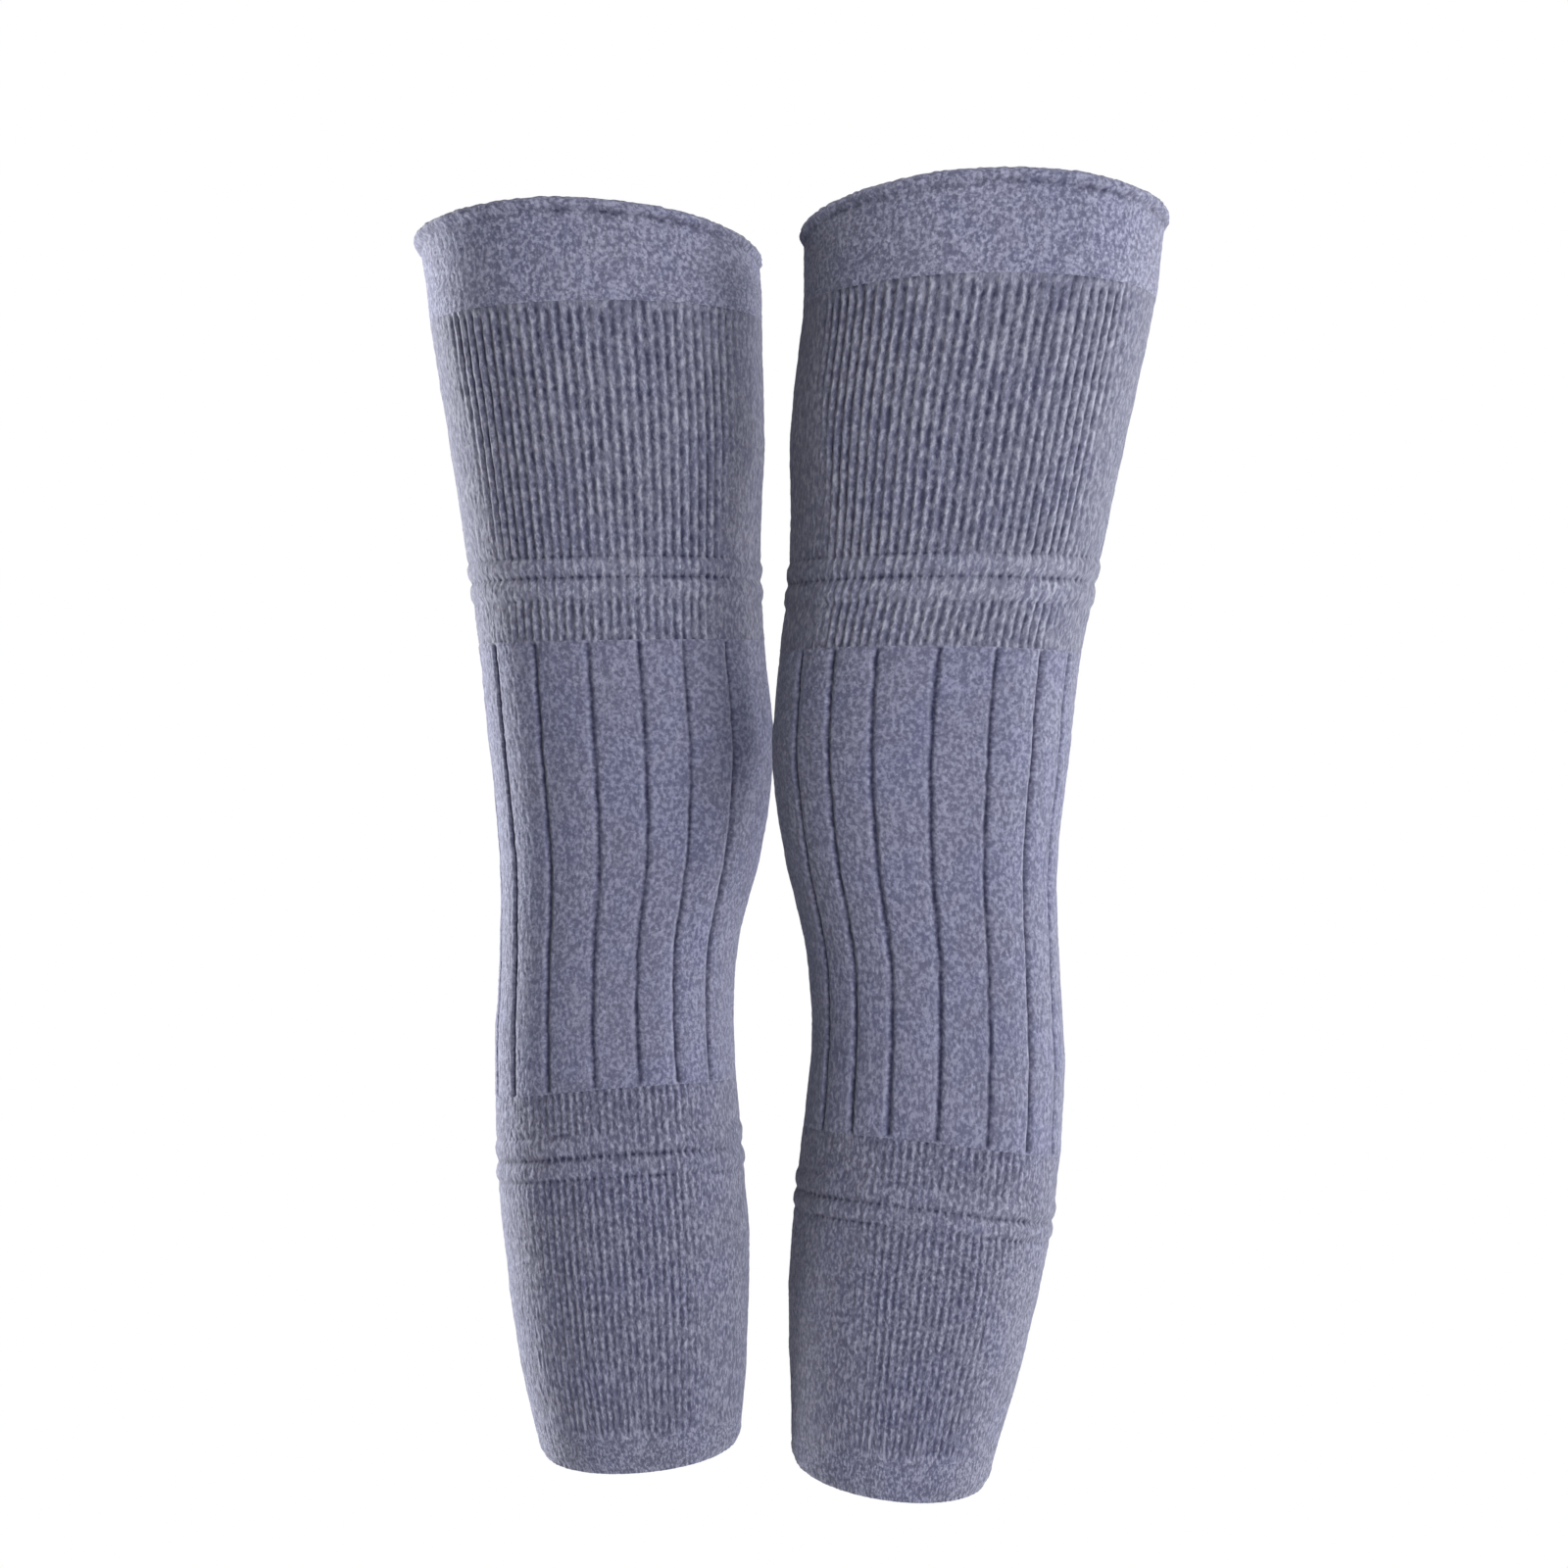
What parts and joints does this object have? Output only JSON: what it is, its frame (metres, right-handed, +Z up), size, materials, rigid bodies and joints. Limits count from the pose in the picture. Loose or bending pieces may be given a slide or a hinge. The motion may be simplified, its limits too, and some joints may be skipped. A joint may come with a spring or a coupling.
{
  "type": "pair of knee warmers",
  "caption": "Pair of long ribbed knit tubes that keep the knees warm, open at the top and at the hem, with a plain panel over each knee and raised ridges beside it.",
  "frame": {"origin": "midway between the two top welts, at half their height, where the pair is held up", "axes": "+Z up along the legs of the pair, -Y the way its fronts face, +X from the right warmer to the left one"},
  "size_m": [0.2904, 0.2215, 0.4867],
  "materials": {
    "top_welt_knit": "heathered plain knit, turned over to a double layer, soft rolled rim, matt",
    "upper_rib_knit": "heathered fine vertical rib knit, light crests and dark furrows, matt",
    "knee_panel_knit": "heathered thick plain knit, faintly napped, fine sunk lines, matt",
    "lower_rib_knit": "heathered fine vertical rib knit, light crests and dark furrows, matt",
    "hem_welt_knit": "heathered fine plain knit, turned edge, matt"
  },
  "bodies": {
    "root": {"right_top_welt": "top_welt_knit", "right_upper_rib": "upper_rib_knit", "right_knee_panel": "knee_panel_knit", "right_lower_rib": "lower_rib_knit", "right_hem_welt": "hem_welt_knit", "left_top_welt": "top_welt_knit", "left_upper_rib": "upper_rib_knit", "left_knee_panel": "knee_panel_knit", "left_lower_rib": "lower_rib_knit", "left_hem_welt": "hem_welt_knit"}
  },
  "joints": []
}
